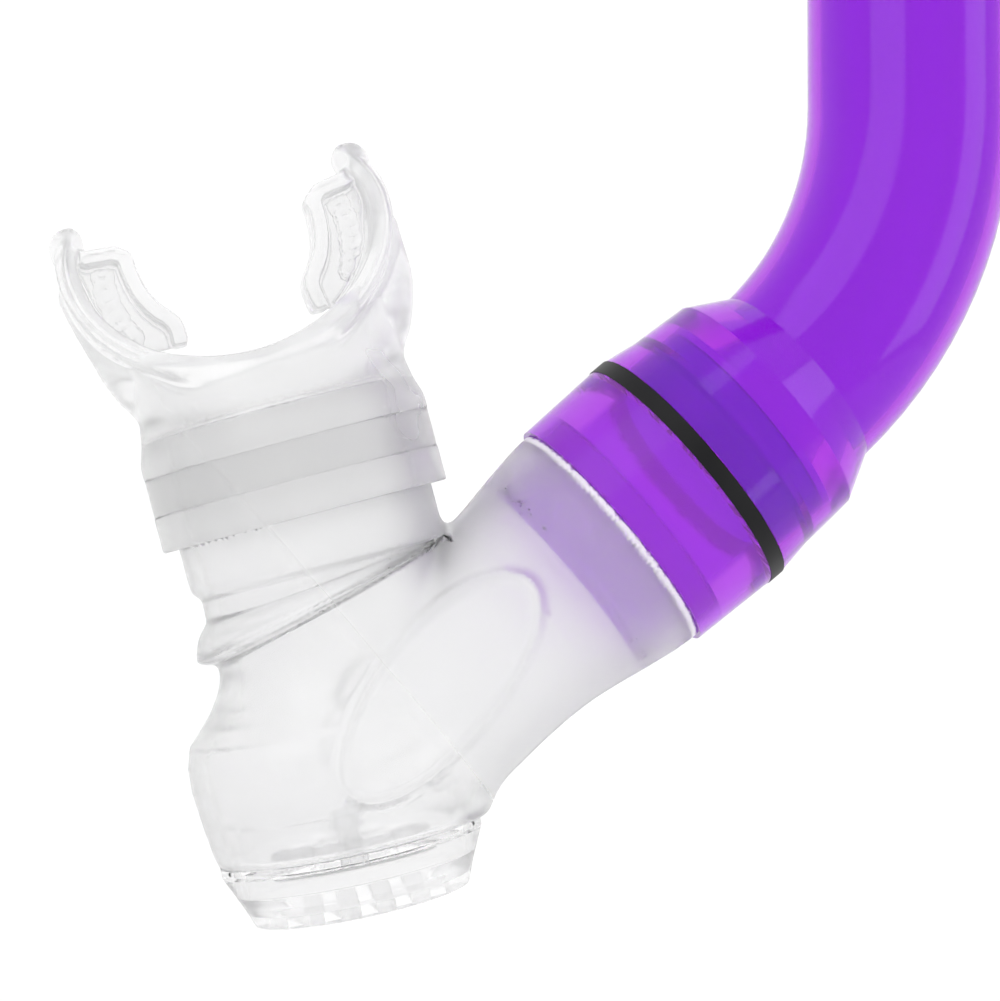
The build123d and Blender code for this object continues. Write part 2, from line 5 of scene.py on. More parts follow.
import bpy
import numpy as np
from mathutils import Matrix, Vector


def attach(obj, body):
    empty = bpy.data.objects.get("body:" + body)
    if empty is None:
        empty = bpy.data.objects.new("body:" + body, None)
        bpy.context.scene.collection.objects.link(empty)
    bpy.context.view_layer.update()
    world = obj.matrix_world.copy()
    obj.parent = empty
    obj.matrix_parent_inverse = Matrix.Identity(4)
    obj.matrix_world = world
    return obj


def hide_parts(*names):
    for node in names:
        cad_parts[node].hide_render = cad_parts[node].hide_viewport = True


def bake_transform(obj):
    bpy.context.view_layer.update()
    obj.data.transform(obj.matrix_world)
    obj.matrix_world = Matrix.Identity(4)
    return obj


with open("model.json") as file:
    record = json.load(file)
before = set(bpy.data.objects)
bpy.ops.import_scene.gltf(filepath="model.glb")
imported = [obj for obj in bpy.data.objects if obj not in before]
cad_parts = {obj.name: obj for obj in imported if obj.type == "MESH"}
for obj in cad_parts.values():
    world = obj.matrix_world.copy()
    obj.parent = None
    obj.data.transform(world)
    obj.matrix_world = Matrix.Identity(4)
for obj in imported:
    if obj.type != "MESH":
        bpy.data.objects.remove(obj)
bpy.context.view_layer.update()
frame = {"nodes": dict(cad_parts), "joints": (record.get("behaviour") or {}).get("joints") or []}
MM = 0.001
JOINTS = {joint["name"]: joint for joint in frame["joints"]}


# ---- places, in millimetres, taken from the part's own joints -----------------------------
class Place:
    """A local frame: across and up lie in the snorkel's plane, depth is the row's Y."""

    def __init__(self, origin, up):
        self.origin = np.array(origin, float)
        self.up = np.array(up, float) / np.linalg.norm(up)
        self.side = np.cross((0.0, 1.0, 0.0), self.up)

    def local(self, points):
        rel = points - self.origin
        return rel @ self.side, rel[:, 1], rel @ self.up


def joint_place(name):
    return np.array(JOINTS[name]["pos_m"]) / MM, np.array(JOINTS[name]["axis"], float)


BELL = Place(*joint_place("swivel_turn"))
ARM = Place(*joint_place("mouthpiece_turn"))
PIVOT = joint_place("arm_flex")[0]
NECK_LENGTH = 42.4
JUNCTION = BELL.origin - BELL.up * NECK_LENGTH
PURGE_DROP = 20.8
PURGE_SIDE = 4.6
PURGE_UP = -np.array(JOINTS["purge_lift"]["axis"], float)
PURGE = Place(JUNCTION - PURGE_UP * PURGE_DROP - np.array((PURGE_SIDE, 0.0, 0.0)), PURGE_UP)


# ---- distance fields ----------------------------------------------------------------------
FAR = 1e9


def curve(*knots, blur=0.8):
    """A smooth function through (x, y) knots: straight between them, rounded over a blur length."""
    xs, ys = np.array(knots, float).T
    fine = np.linspace(xs[0] - 4 * blur, xs[-1] + 4 * blur, 400)
    spread = np.arange(-3, 3.01, 0.25) * blur
    weights = np.exp(-((spread / blur) ** 2))
    values = sum(w * np.interp(fine + s, xs, ys) for s, w in zip(spread, weights)) / weights.sum()
    return lambda x: np.interp(x, fine, values)


def rounded(*points):
    """An open line of points with its corners cut off."""
    line = np.array(points, float)
    pairs = np.stack([0.75 * line[:-1] + 0.25 * line[1:], 0.25 * line[:-1] + 0.75 * line[1:]], 1)
    return [tuple(points[0]), *map(tuple, pairs.reshape(-1, 2)), tuple(points[-1])]


def join(a, b, round_mm):
    """Smooth union of two distances."""
    h = np.clip(0.5 + 0.5 * (b - a) / round_mm, 0, 1)
    return b + (a - b) * h - round_mm * h * (1 - h)


def cut(a, b, round_mm):
    """Smooth difference: a without b."""
    return -join(-a, b, round_mm)


def both(a, b, round_mm):
    """Smooth overlap of two distances."""
    return -join(-a, -b, round_mm)


def outline(x, y, corners):
    """Exact distance to a closed polygon in a plane."""
    pts = np.array(corners, float)
    best = np.full(x.shape, FAR)
    sign = np.ones(x.shape)
    for (ax, ay), (bx, by) in zip(pts, np.roll(pts, 1, axis=0)):
        ex, ey = bx - ax, by - ay
        wx, wy = x - ax, y - ay
        along = np.clip((wx * ex + wy * ey) / (ex * ex + ey * ey), 0, 1)
        best = np.minimum(best, (wx - ex * along) ** 2 + (wy - ey * along) ** 2)
        above = y >= ay
        below = y < by
        left = ex * wy > ey * wx
        flip = (above & below & left) | (~above & ~below & ~left)
        sign = np.where(flip, -sign, sign)
    return sign * np.sqrt(best)


def ring_solid(across, depth, height, inner, outer, low, high, edge):
    """A ring about the height axis, with rounded edges."""
    radial = np.hypot(across, depth)
    dr = np.abs(radial - (inner + outer) / 2) - (outer - inner) / 2 + edge
    dh = np.abs(height - (low + high) / 2) - (high - low) / 2 + edge
    return np.hypot(np.maximum(dr, 0), np.maximum(dh, 0)) + np.minimum(np.maximum(dr, dh), 0) - edge


# ---- meshing ------------------------------------------------------------------------------
CORNERS = np.array([(i, j, k) for i in (0, 1) for j in (0, 1) for k in (0, 1)])
EDGES = [(a, b) for a in range(8) for b in range(a + 1, 8)
         if np.abs(CORNERS[a] - CORNERS[b]).sum() == 1]


def sample(field, axes):
    """The field on a grid, one slab at a time."""
    ys, zs = np.meshgrid(axes[1], axes[2], indexing="ij")
    slab = np.stack([np.zeros(ys.size), ys.ravel(), zs.ravel()], 1)
    values = np.empty([len(axis) for axis in axes], np.float32)
    for index, x in enumerate(axes[0]):
        slab[:, 0] = x
        values[index] = field(slab).reshape(ys.shape)
    return values


def net(values, low, step):
    """Surface net of a sampled field: one vertex per crossed cell, one quad per crossed grid edge."""
    inside = values < 0
    cells = tuple(n - 1 for n in values.shape)
    count = np.zeros(cells, np.int8)
    for corner in CORNERS:
        count += inside[tuple(slice(c, c + n) for c, n in zip(corner, cells))]
    where = np.argwhere((count > 0) & (count < 8))
    index = np.full(cells, -1, np.int64)
    index[tuple(where.T)] = np.arange(len(where))
    corner_values = np.stack([values[tuple((where + corner).T)] for corner in CORNERS], 1)
    total = np.zeros((len(where), 3))
    hits = np.zeros(len(where))
    for a, b in EDGES:
        va, vb = corner_values[:, a], corner_values[:, b]
        crossed = (va < 0) != (vb < 0)
        t = np.where(crossed, va / np.where(crossed, va - vb, 1), 0)
        spot = CORNERS[a] + t[:, None] * (CORNERS[b] - CORNERS[a])
        total += spot * crossed[:, None]
        hits += crossed
    vertices = (where + total / hits[:, None]) * step + np.array(low)
    quads = []
    for axis in range(3):
        p, q = [a for a in range(3) if a != axis]
        lead = [slice(None)] * 3
        lead[axis] = slice(0, -1)
        follow = list(lead)
        follow[axis] = slice(1, None)
        here, there = inside[tuple(lead)], inside[tuple(follow)]
        spots = np.argwhere(here != there)
        keep = (spots[:, p] > 0) & (spots[:, q] > 0) & (spots[:, p] < cells[p]) & (spots[:, q] < cells[q])
        spots = spots[keep]
        enters = there[tuple(spots.T)]
        step_p = np.eye(3, dtype=int)[p]
        step_q = np.eye(3, dtype=int)[q]
        around = [spots - step_p - step_q, spots - step_q, spots, spots - step_p]
        quad = np.stack([index[tuple(c.T)] for c in around], 1)
        turned = enters if axis != 1 else ~enters
        quad[turned] = quad[turned][:, ::-1]
        quads.append(quad)
    return vertices, np.concatenate(quads)


# How far apart a field is read for its slope: close for placing vertices, and wider for normals, which
# rounds the look of edges that are sharper than the mesh
PLACING_REACH = 0.02
NORMAL_REACH = 0.25


def slope_at(field, vertices, nudge):
    """The field's gradient at each vertex."""
    return np.stack([(field(vertices + step) - field(vertices - step)) / (2 * nudge)
                     for step in np.eye(3) * nudge], 1)


def settle(field, vertices, rounds=4, limit=0.3, least_slope=0.05):
    """Moves vertices onto the field's zero surface."""
    for _ in range(rounds):
        slope = slope_at(field, vertices, PLACING_REACH)
        length = np.maximum((slope ** 2).sum(1), least_slope)
        vertices = vertices - np.clip((field(vertices) / length)[:, None] * slope, -limit, limit)
    return vertices


def surface(field, low, high, step):
    """The vertices and quads of a field given in millimetres."""
    axes = [np.arange(a, b + step, step) for a, b in zip(low, high)]
    vertices, quads = net(sample(field, axes), [axis[0] for axis in axes], step)
    return settle(field, vertices), quads


def moulded(name, field, vertices, quads):
    """A smooth mesh object of some of a surface's quads, with the field's own normals."""
    used, quads = np.unique(quads, return_inverse=True)
    vertices = vertices[used]
    quads = quads.reshape(-1, 4)
    mesh = bpy.data.meshes.new(name)
    mesh.from_pydata((vertices * MM).tolist(), [], quads.tolist())
    mesh.polygons.foreach_set("use_smooth", np.ones(len(quads), bool))
    mesh.update()
    slope = slope_at(field, vertices, NORMAL_REACH)
    slope /= np.maximum(np.linalg.norm(slope, axis=1), 1e-6)[:, None]
    mesh.normals_split_custom_set_from_vertices(slope.tolist())
    piece = bpy.data.objects.new(name, mesh)
    bpy.context.scene.collection.objects.link(piece)
    print("moulded", name, len(vertices), "vertices")
    return piece


# ---- silicone lower body ------------------------------------------------------------------
WALL = 2.0
THINNEST_WALL = 0.6
AIR_GAP = 0.2
NECK_RADIUS = curve((0, 17.2), (3, 17.0), (6, 16.5), (9, 16.0), (12, 15.4), (16, 14.8), (20, 14.6),
                    (25, 14.7), (29, 15.0), (34, 15.2), (44, 15.6), blur=1.2)
NECK_SPIGOT_R = 14.9 + AIR_GAP
NECK_SPIGOT_LOW = -9.0
BARB_AT = -7.6
BARB_SPACE = 0.4
NECK_TAPER_LOW = -14.0
NECK_TAPER_R = 12.4
NECK_PLUG_R = 16.3
NECK_PLUG_LOW = -2.0
NECK_PLUG_DEPTH = 4.0
NECK_PLUG_EDGE = 0.2
LIP_R = 17.15
LIP_LOW = -1.1
LIP_HIGH = -0.05
LIP_EDGE = 0.3
STUB_R = 16.9
STUB_TOP = 14.0
ARM_LENGTH = 30.8
INSERT_R = 15.0 + AIR_GAP
SEAT_PLANE = 8.15
SEAT_PLUG_TOP = 13.2
SEAT_PLUG_R = 15.2 + AIR_GAP
CHAMBER = ((-20.0, 5.0), (16.7, 5.0), (16.9, 8.5), (17.3, 10), (17.9, 14), (18.4, 18.5),
           (18.3, 21.5), (17.6, 24.0), (15.4, 26.3), (13.0, 28.3), (9.0, 30.5), (0, 32.0), (-20.0, 32.0))
CHAMBER_ROUND = 0.4
# The arm's radius by degrees below level, seen from the flex pivot
ARM_RADIUS = curve((-60, STUB_R), (11, STUB_R), (13.2, 16.8), (15.2, 15.8), (20.3, 15.9), (22.0, 17.0),
                   (23.5, 17.7), (26.9, 18.5), (28.0, 17.9), (29.2, 16.2), (31.0, 15.8), (90, 15.8), blur=0.45)
PAD_CENTRE = (-41.5, -169.9)
PAD_LEAN = math.radians(49.5)
PAD_HALF = (17.3, 7.4)
PAD_HEIGHT = 0.45
PAD_GROOVE = 0.75
PAD_GROOVE_HALF = 0.75
PAD_EDGE_SLOPE = 5.0
STEEPEST = 40.0
LEAST_OVAL = 0.05
LEAST_SLOPE = 0.02
LEAST_REACH = 0.5
OUT_OF_MIDDLE = 6.0
CROTCH_ROUND = 2.6
SHOULDER_ROUND = 5.0
INNER_ROUND = 4.0
SPIGOT_ROUND = 1.5
SEAT_RIM_ROUND = 0.6
MOUTH_OF_BORE_ROUND = 0.3


def fan_angle(points):
    """Degrees below level, seen from the flex pivot towards the mouthpiece's side."""
    return np.degrees(np.arctan2(PIVOT[2] - points[:, 2], np.maximum(PIVOT[0] - points[:, 0], LEAST_REACH)))


def capsule(across, depth, over):
    """Distance from an axis that ends where over passes zero."""
    return np.sqrt(across ** 2 + depth ** 2 + np.maximum(over, 0) ** 2)


def pad_step(points):
    """How far the oval pads on the two sides stand out, with a groove round each."""
    dx = points[:, 0] - PAD_CENTRE[0]
    dz = points[:, 2] - PAD_CENTRE[1]
    along = dx * math.cos(PAD_LEAN) + dz * math.sin(PAD_LEAN)
    over = -dx * math.sin(PAD_LEAN) + dz * math.cos(PAD_LEAN)
    oval = np.hypot(along / PAD_HALF[0], over / PAD_HALF[1])
    slope = np.hypot(along / PAD_HALF[0] ** 2, over / PAD_HALF[1] ** 2) / np.maximum(oval, LEAST_OVAL)
    edge_mm = (oval - 1) / np.maximum(slope, LEAST_SLOPE)
    raised = PAD_HEIGHT / (1 + np.exp(np.clip(edge_mm * PAD_EDGE_SLOPE, -STEEPEST, STEEPEST)))
    groove = PAD_GROOVE * np.exp(-(edge_mm / PAD_GROOVE_HALF) ** 2)
    return (raised - groove) * (np.abs(points[:, 1]) > OUT_OF_MIDDLE)


def body_shell(points, inset):
    """The lower body's outside, shrunk by an inset: its neck and arm together, then its chamber."""
    u, v, s = BELL.local(points)
    neck = capsule(u, v, -s - NECK_LENGTH) - NECK_RADIUS(-s) + inset
    au, av, at = ARM.local(points)
    tube = capsule(au, av, -at - ARM_LENGTH) - ARM_RADIUS(fan_angle(points)) + inset
    pu, pv, pw = PURGE.local(points)
    chamber = outline(np.hypot(pu, pv), pw, CHAMBER) + inset - CHAMBER_ROUND
    return join(neck, np.maximum(tube, at - STUB_TOP), CROTCH_ROUND), chamber


def spigot_space(u, v, s):
    """The space that the collar's spigot takes up in the neck, and a taper below it."""
    radius = np.interp(s, (NECK_TAPER_LOW, NECK_SPIGOT_LOW - AIR_GAP), (NECK_TAPER_R, NECK_SPIGOT_R))
    radius = radius + BARB_SPACE * np.exp(-(s - BARB_AT) ** 2)
    return np.maximum(np.hypot(u, v) - radius, NECK_TAPER_LOW - s)


def body_field(points):
    """The neck, the chamber, the arm and the stub: one silicone moulding."""
    root, chamber = body_shell(points, 0.0)
    inner_root, inner_chamber = body_shell(points, WALL)
    u, v, s = BELL.local(points)
    au, av, at = ARM.local(points)
    pu, pv, pw = PURGE.local(points)
    outside = join(np.maximum(root, s), chamber, SHOULDER_ROUND) - pad_step(points)
    hollow = join(join(inner_root, inner_chamber, INNER_ROUND), spigot_space(u, v, s), SPIGOT_ROUND)
    hollow = np.maximum(hollow, outside + THINNEST_WALL)
    plug_high = NECK_PLUG_DEPTH - AIR_GAP
    plug = ring_solid(u, v, s, NECK_SPIGOT_R, NECK_PLUG_R, NECK_PLUG_LOW, plug_high, NECK_PLUG_EDGE)
    lip = ring_solid(u, v, s, NECK_SPIGOT_R, LIP_R, LIP_LOW, LIP_HIGH, LIP_EDGE)
    outside = np.minimum(np.minimum(outside, plug), lip)
    outside = both(outside, SEAT_PLANE - pw, SEAT_RIM_ROUND)
    insert = np.maximum(np.hypot(au, av) - INSERT_R, -at)
    seat = np.maximum(np.hypot(pu, pv) - SEAT_PLUG_R, pw - SEAT_PLUG_TOP)
    hollow = np.minimum(hollow, np.minimum(insert, seat))
    return cut(outside, hollow, MOUTH_OF_BORE_ROUND)


# ---- mouthpiece ---------------------------------------------------------------------------
SLEEVE_R = 19.0
SLEEVE_BORE_R = 17.05
SOCKET_TOP = 14.1
THROAT_ACROSS = curve((0, SLEEVE_R), (11.5, SLEEVE_R), (14, 18.2), (17, 17.7), (18.6, 18.4), (20, 19.4),
                      (22, 20.3), (24, 21.0), (26, 21.5), (28, 21.9), (34.6, 22.3), (46, 22.3), blur=0.5)
THROAT_DEEP = curve((0, SLEEVE_R), (12, SLEEVE_R), (17.5, 15.6), (22, 12.6), (30, 11.0), (46, 10.0))
BORE_ACROSS = curve((SOCKET_TOP, 13.4), (19, 15.0), (26, 15.5), (40, 12.0))
BORE_DEEP = curve((SOCKET_TOP, 13.4), (24, 8.0), (40, 6.0))
BAND_LOW, BAND_HIGH, BAND_DEPTH = 4.6, 9.6, 0.7
FLEX_LEAN = math.radians(3.3)
FLEX_AT = 13.0
THROAT_LEAN = 0.1
THROAT_LEAN_FROM = 26.0
ARCH_CENTRE = 37.0
ARCH_HALF = (20.4, 16.8)
FLANGE_WALL = 0.95
RIM_BEAD_R = 1.1
THROAT_TOP = 36.0
BORE_TOP = 25.5
WING_START = 19.0
WING_REACH = 23.0
FLANGE_DEEP = 12.0
TIP_BULB_AT = (19.3, 42.4)
TIP_BULB_R = 2.1
TIP_BULB_HALF = 1.6
TAB_EDGE = rounded((17.4, 40.0), (12.7, 39.4), (12.7, 36.4), (12.2, 33.5), (11.1, 31.1), (9.4, 29.2),
                   (9.0, 27.5), (9.9, 22.6))
TAB_PLATE = TAB_EDGE + [(12.5, 22.6), (17.6, 28.0), (20.2, 35.5), (19.6, 41.8)]
TAB_HALF = 1.25
RIDGE_HALF = 4.2
RIDGE_R = 1.05
GRIP_CHAIN = ((15.8, 38.6), (16.0, 37.4), (16.3, 35.7), (16.3, 34.4), (16.1, 32.8), (15.8, 31.6),
              (15.3, 29.9), (14.8, 28.8))
GRIP_RING_R = 0.95
GRIP_WIRE_R = 0.4
# How far the mouthpiece's edges and inner corners are rounded
SLEEVE_END_ROUND = 0.3
TAB_EDGE_ROUND = 0.5
RIDGE_ROUND = 0.8
GRIP_ROUND = 0.15
FLANGE_EDGE_ROUND = 0.5
BEAD_ROUND = 1.2
BULB_ROUND = 1.5
THROAT_END_ROUND = 1.0
THROAT_TOP_ROUND = 2.0
FLANGE_FOOT_ROUND = 2.2
TAB_FOOT_ROUND = 0.9
MOUTH_BORE_ROUND = 0.4
BAND_GROOVE_ROUND = 0.2


def segment_distance(x, y, ends):
    """Distance to an open line of points in a plane."""
    best = np.full(x.shape, FAR)
    for (ax, ay), (bx, by) in zip(ends, ends[1:]):
        ex, ey = bx - ax, by - ay
        along = np.clip(((x - ax) * ex + (y - ay) * ey) / (ex * ex + ey * ey), 0, 1)
        best = np.minimum(best, np.hypot(x - ax - ex * along, y - ay - ey * along))
    return best


def arch_distance(u, t):
    """Signed distance from the lip flange's middle surface, an oval seen from the side, outside positive."""
    rise = t - ARCH_CENTRE
    k = np.hypot(u / ARCH_HALF[0], rise / ARCH_HALF[1])
    slope = np.hypot(u / ARCH_HALF[0] ** 2, rise / ARCH_HALF[1] ** 2) / np.maximum(k, LEAST_OVAL)
    return (k - 1) / np.maximum(slope, LEAST_SLOPE)


def throat_shape(u, v, t):
    """The funnel between the sleeve and the flange, leaning with the flexed flange."""
    centre = -THROAT_LEAN * np.maximum(t - THROAT_LEAN_FROM, 0)
    half_u, half_v = THROAT_ACROSS(t), THROAT_DEEP(t)
    funnel = (np.hypot((u - centre) / half_u, v / half_v) - 1) * np.minimum(half_u, half_v)
    return both(funnel, -t, SLEEVE_END_ROUND)


def bite_tabs(across, v, t):
    """Both bite tabs: a plate, the ridge along its free edge and a chain of small rings for grip."""
    plate = both(outline(across, t, TAB_PLATE), np.abs(v) - TAB_HALF, TAB_EDGE_ROUND)
    ridge = both(segment_distance(across, t, TAB_EDGE) - RIDGE_R, np.abs(v) - RIDGE_HALF, RIDGE_ROUND)
    tabs = join(plate, ridge, RIDGE_ROUND)
    for ring_u, ring_t in GRIP_CHAIN:
        away = np.hypot(across - ring_u, t - ring_t) - GRIP_RING_R
        tabs = join(tabs, np.hypot(away, np.abs(v) - TAB_HALF) - GRIP_WIRE_R, GRIP_ROUND)
    return tabs


def lip_flange(across, v, t, arch):
    """The curved wall behind the lips, with a bead round its rim and a bulb at each tip."""
    rise = np.maximum(t - WING_START, 0) / WING_REACH
    limit = (np.hypot(rise, v / FLANGE_DEEP) - 1) * FLANGE_DEEP
    wall = both(np.abs(arch) - FLANGE_WALL, limit, FLANGE_EDGE_ROUND)
    bead = np.hypot(arch, limit) - RIM_BEAD_R
    tip = np.hypot(across - TIP_BULB_AT[0], t - TIP_BULB_AT[1])
    bulb = np.hypot(tip, np.maximum(np.abs(v) - TIP_BULB_HALF, 0)) - TIP_BULB_R
    return join(join(wall, bead, BEAD_ROUND), bulb, BULB_ROUND)


def mouth_field(points):
    """The sleeve, the throat, the lip flange and the bite tabs: one soft silicone moulding."""
    u, v, t = ARM.local(points)
    flexed_u = u * math.cos(FLEX_LEAN) + (t - FLEX_AT) * math.sin(FLEX_LEAN)
    flexed_t = FLEX_AT + (t - FLEX_AT) * math.cos(FLEX_LEAN) - u * math.sin(FLEX_LEAN)
    across = np.abs(flexed_u)
    arch = arch_distance(flexed_u, flexed_t)
    inside_arch = np.where(flexed_t > ARCH_CENTRE, np.minimum(arch, across - ARCH_HALF[0]), arch)
    throat = both(throat_shape(u, v, t), -inside_arch - FLANGE_WALL, THROAT_END_ROUND)
    throat = both(throat, t - THROAT_TOP, THROAT_TOP_ROUND)
    body = join(throat, lip_flange(across, v, flexed_t, arch), FLANGE_FOOT_ROUND)
    body = join(body, bite_tabs(across, v, flexed_t), TAB_FOOT_ROUND)
    bore_u, bore_v = BORE_ACROSS(t), BORE_DEEP(t)
    bore = (np.hypot(u / bore_u, v / bore_v) - 1) * np.minimum(bore_u, bore_v)
    bore = np.maximum(np.maximum(bore, SOCKET_TOP - t), t - BORE_TOP)
    radial = np.hypot(u, v)
    socket = np.maximum(radial - SLEEVE_BORE_R, t - SOCKET_TOP)
    body = cut(body, np.minimum(bore, socket), MOUTH_BORE_ROUND)
    groove = np.maximum(np.abs(t - (BAND_LOW + BAND_HIGH) / 2) - (BAND_HIGH - BAND_LOW) / 2,
                        SLEEVE_R - BAND_DEPTH - radial)
    return cut(body, groove, BAND_GROOVE_ROUND)


# ---- materials ----------------------------------------------------------------------------
# How much finer a material's texture is than the drift of its colour
GRAIN_FINENESS = 12


def principled(name, color, **sockets):
    """A node material, its node tree and its Principled shader."""
    material = bpy.data.materials.new(name)
    material.use_nodes = True
    tree = material.node_tree
    shader = tree.nodes["Principled BSDF"]
    shader.inputs["Base Color"].default_value = (*color, 1)
    for key, value in sockets.items():
        shader.inputs[key.replace("_", " ")].default_value = value
    return material, tree, shader


def noise(tree, scale, detail=3.0):
    place = tree.nodes.new("ShaderNodeTexCoord")
    node = tree.nodes.new("ShaderNodeTexNoise")
    node.inputs["Scale"].default_value = scale
    node.inputs["Detail"].default_value = detail
    tree.links.new(place.outputs["Object"], node.inputs["Vector"])
    return node.outputs["Fac"]


def ramp(tree, value, low, high, start=0.3, end=0.7):
    """Maps a value onto a range of colours or greys."""
    node = tree.nodes.new("ShaderNodeValToRGB")
    node.color_ramp.elements[0].position = start
    node.color_ramp.elements[1].position = end
    node.color_ramp.elements[0].color = (*low, 1)
    node.color_ramp.elements[1].color = (*high, 1)
    tree.links.new(value, node.inputs["Fac"])
    return node.outputs["Color"]


def bump(tree, shader, height, strength, distance):
    node = tree.nodes.new("ShaderNodeBump")
    node.inputs["Strength"].default_value = strength
    node.inputs["Distance"].default_value = distance
    tree.links.new(height, node.inputs["Height"])
    tree.links.new(node.outputs["Normal"], shader.inputs["Normal"])


def varied(name, low, high, scale, rough_low, rough_high, bump_mm=0.02, grain=0.25, **sockets):
    """A material whose colour and roughness drift a little over the surface, with a fine texture."""
    material, tree, shader = principled(name, low, **sockets)
    cloud = noise(tree, scale)
    tree.links.new(ramp(tree, cloud, low, high), shader.inputs["Base Color"])
    grey = ramp(tree, cloud, (rough_low,) * 3, (rough_high,) * 3)
    tree.links.new(grey, shader.inputs["Roughness"])
    bump(tree, shader, noise(tree, scale * GRAIN_FINENESS), grain, bump_mm * MM)
    return material


def attribute(tree, name):
    node = tree.nodes.new("ShaderNodeAttribute")
    node.attribute_name = name
    return node.outputs["Fac"]


def frosted_silicone():
    """Clear in the arm and the chamber, satin in the neck, and a painted highlight on the neck's free lip,
    which is made whiter and less clear.
    """
    material = varied("frosted_silicone", (0.97, 0.97, 0.973), (0.98, 0.98, 0.981), 60, 0.2, 0.3,
                      bump_mm=0.006, grain=0.08, Transmission_Weight=0.8, IOR=1.33)
    tree = material.node_tree
    shader = tree.nodes["Principled BSDF"]
    frost = attribute(tree, "frost")
    lip = attribute(tree, "lip")
    tree.links.new(ramp(tree, frost, (0.2,) * 3, (0.5,) * 3, 0, 1), shader.inputs["Roughness"])
    clear = tree.nodes.new("ShaderNodeMath")
    clear.operation = "MULTIPLY"
    tree.links.new(ramp(tree, frost, (0.86,) * 3, (0.84,) * 3, 0, 1), clear.inputs[0])
    # Painted highlight: the lip's rim is made nearly opaque white, standing in for the bright line of light
    # along it
    tree.links.new(ramp(tree, lip, (1.0,) * 3, (0.15,) * 3, 0, 1), clear.inputs[1])
    tree.links.new(clear.outputs["Value"], shader.inputs["Transmission Weight"])
    return material


PURPLE = varied("purple_clear", (0.495, 0.03, 0.855), (0.525, 0.04, 0.875), 30, 0.08, 0.13, bump_mm=0.0005,
                grain=0.03, Transmission_Weight=0.88, IOR=1.4, Specular_IOR_Level=0.35)
COLLAR = varied("purple_collar", (0.59, 0.10, 0.96), (0.62, 0.12, 0.975), 30, 0.1, 0.16, bump_mm=0.0005,
                grain=0.03, Transmission_Weight=0.72, IOR=1.25)
CLEAR = varied("clear_plastic", (0.96, 0.96, 0.965), (0.98, 0.98, 0.98), 40, 0.06, 0.12, bump_mm=0.002,
               grain=0.05, Transmission_Weight=0.95, IOR=1.35)
# Plastic pressed into silicone hardly shows, since the two bend light almost alike
SEATED = varied("seated_plastic", (0.995, 0.995, 0.995), (1.0, 1.0, 1.0), 40, 0.03, 0.06, bump_mm=0.002,
                grain=0.03, Transmission_Weight=1.0, IOR=1.04)
COVER = varied("cover_plastic", (0.98, 0.98, 0.982), (0.99, 0.99, 0.99), 40, 0.16, 0.24, bump_mm=0.004,
               grain=0.05, Transmission_Weight=0.88, IOR=1.13)
FROSTED = frosted_silicone()
SOFT = varied("soft_silicone", (0.975, 0.975, 0.977), (0.985, 0.985, 0.985), 60, 0.2, 0.28, bump_mm=0.006,
              grain=0.06, Transmission_Weight=0.75, IOR=1.34)
WHITE = varied("white_silicone", (0.94, 0.94, 0.94), (0.965, 0.965, 0.965), 80, 0.35, 0.5,
               Transmission_Weight=0.85, IOR=1.1)
BLACK = varied("black_rubber", (0.006, 0.006, 0.007), (0.012, 0.012, 0.013), 90, 0.35, 0.5,
               Specular_IOR_Level=0.15)
FOAM = varied("orange_foam", (0.75, 0.30, 0.04), (0.88, 0.42, 0.08), 200, 0.7, 0.9, bump_mm=0.1)

NODE_MATERIALS = {
    "barrel": PURPLE, "swivel_collar": COLLAR, "keeper_collar": PURPLE, "float_cage": PURPLE,
    "top_cap": PURPLE, "swivel_seal": BLACK, "float_seal": BLACK, "mouth_insert": SEATED,
    "mouthpiece_band": SEATED, "purge_seat": SEATED, "purge_cover": COVER, "keeper_rivet": CLEAR,
    "keeper_clip": CLEAR, "valve_seat": CLEAR, "keeper_liner": SOFT, "purge_membrane": WHITE,
    "float_ring": FOAM,
}


def dress(piece, material):
    piece.data.materials.clear()
    piece.data.materials.append(material)


for node, material in NODE_MATERIALS.items():
    dress(frame["nodes"][node], material)

# ---- pieces -------------------------------------------------------------------------------
# The boxes that hold the two mouldings, and the spacing of the grid in each
BODY_LOW, BODY_HIGH = (-80, -21, -197), (4, 21, -126)
BODY_GRID = 0.5
MOUTH_LOW, MOUTH_HIGH = (-100, -20, -156), (-30, 20, -95)
MOUTH_GRID = 0.42
FROST_START = -18.0
FROST_END = -40.0
# How far the painted highlight on the neck's lip fades in
LIP_HIGHLIGHT_FADE = 0.3
RIM_REACH = 0.3
RIM_INSET = 0.4


def mark(piece, name, values):
    """Stores a value from 0 to 1 at each vertex, for a material to read."""
    layer = piece.data.attributes.new(name, "FLOAT", "POINT")
    layer.data.foreach_set("value", np.clip(values, 0, 1).astype(np.float32))


def mark_neck_frost_and_lip_highlight(piece):
    """Marks the neck's satin finish and a painted highlight along its free lip, next to the collar."""
    spots = np.array([vertex.co for vertex in piece.data.vertices]) / MM
    u, v, s = BELL.local(spots)
    mark(piece, "frost", (s - FROST_END) / (FROST_START - FROST_END))
    # The free lip's rim gets a painted highlight
    on_rim = (s < RIM_REACH) & (np.hypot(u, v) > NECK_SPIGOT_R + RIM_INSET)
    mark(piece, "lip", np.where(on_rim, (s - LIP_LOW) / LIP_HIGHLIGHT_FADE, 0))


# The arm bends above a plane through the pivot that slopes down away from the neck
BEND_UP = np.array((-0.51, 0.0, 0.86))
spots, faces = surface(body_field, BODY_LOW, BODY_HIGH, BODY_GRID)
centres = spots[faces].mean(1) - PIVOT
in_arm = (centres[:, 0] < 0) & (centres @ BEND_UP > 0)

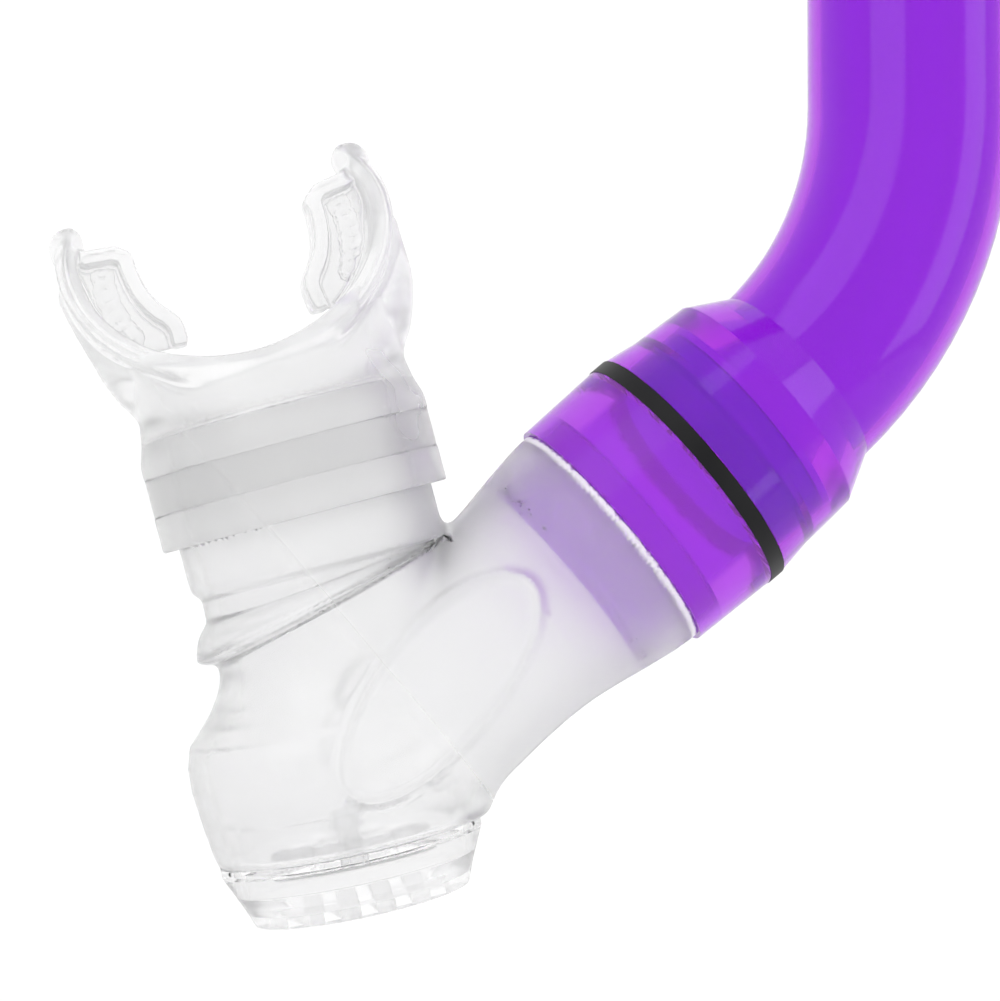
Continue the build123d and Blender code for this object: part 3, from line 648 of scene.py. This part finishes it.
body = moulded("body_silicone", body_field, spots, faces[~in_arm])
dress(body, FROSTED)
mark_neck_frost_and_lip_highlight(body)
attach(body, "swivel")
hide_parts("lower_body")

arm = moulded("arm_silicone", body_field, spots, faces[in_arm])
dress(arm, FROSTED)
mark_neck_frost_and_lip_highlight(arm)
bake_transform(arm)
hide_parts("flex_arm")

spots, faces = surface(mouth_field, MOUTH_LOW, MOUTH_HIGH, MOUTH_GRID)
mouth = moulded("mouthpiece_silicone", mouth_field, spots, faces)
dress(mouth, SOFT)
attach(mouth, "mouthpiece")
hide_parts("mouthpiece")

# ---- stage, light and camera --------------------------------------------------------------
FLOOR_Z = -0.42
FLOOR_R = 0.8
LIT_SPOT = (-0.03, 0, -0.13)
# The room is a little dimmer on the camera's side
FRONT_TONE = (0.90, 0.90, 0.905)
BACK_TONE = (1.0, 1.0, 1.0)
ROOM_STRENGTH = 1.05


def make_floor():
    bpy.ops.mesh.primitive_circle_add(vertices=96, radius=FLOOR_R, fill_type="NGON", location=(0, 0, FLOOR_Z))
    floor = bpy.context.object
    floor.name = "floor"
    dress(floor, varied("floor_paper", (0.93, 0.93, 0.93), (0.95, 0.95, 0.95), 3, 0.8, 0.95))


def make_world():
    world = bpy.data.worlds.new("studio")
    bpy.context.scene.world = world
    world.use_nodes = True
    tree = world.node_tree
    shade = tree.nodes["Background"]
    place = tree.nodes.new("ShaderNodeTexCoord")
    split = tree.nodes.new("ShaderNodeSeparateXYZ")
    tree.links.new(place.outputs["Generated"], split.inputs["Vector"])
    tone = ramp(tree, split.outputs["Y"], FRONT_TONE, BACK_TONE, start=0.05, end=0.45)
    tree.links.new(tone, shade.inputs["Color"])
    shade.inputs["Strength"].default_value = ROOM_STRENGTH


def area_light(name, place, target, size, power):
    lamp = bpy.data.lights.new(name, "AREA")
    lamp.shape = "RECTANGLE"
    lamp.size, lamp.size_y = size
    lamp.energy = power
    holder = bpy.data.objects.new(name, lamp)
    holder.location = place
    holder.rotation_euler = (Vector(target) - Vector(place)).to_track_quat("-Z", "Y").to_euler()
    bpy.context.scene.collection.objects.link(holder)


CAMERA_AZIMUTH = math.radians(-8.0)
CAMERA_ELEVATION = math.radians(-1.5)
CAMERA_REACH = 0.336
CAMERA_LENS = 91.7
CAMERA_TARGET = Vector((-0.03186, 0, -0.1462))


def make_camera():
    data = bpy.data.cameras.new("camera")
    data.lens = CAMERA_LENS
    data.clip_start = 0.01
    camera = bpy.data.objects.new("camera", data)
    away = Vector((math.sin(CAMERA_AZIMUTH) * math.cos(CAMERA_ELEVATION),
                   -math.cos(CAMERA_AZIMUTH) * math.cos(CAMERA_ELEVATION), math.sin(CAMERA_ELEVATION)))
    camera.location = CAMERA_TARGET + away * CAMERA_REACH
    camera.rotation_euler = (-away).to_track_quat("-Z", "Y").to_euler()
    bpy.context.scene.collection.objects.link(camera)
    bpy.context.scene.camera = camera


make_floor()
make_world()
area_light("key", place=(-0.7, -0.8, 0.5), target=LIT_SPOT, size=(0.9, 1.2), power=3.5)
area_light("fill", place=(0.9, -0.5, 0.1), target=LIT_SPOT, size=(0.5, 1.2), power=2.5)
make_camera()
scene = bpy.context.scene
scene.view_settings.view_transform = "Standard"
scene.cycles.max_bounces = 32
scene.cycles.transmission_bounces = 32
scene.cycles.glossy_bounces = 8
scene.cycles.diffuse_bounces = 12
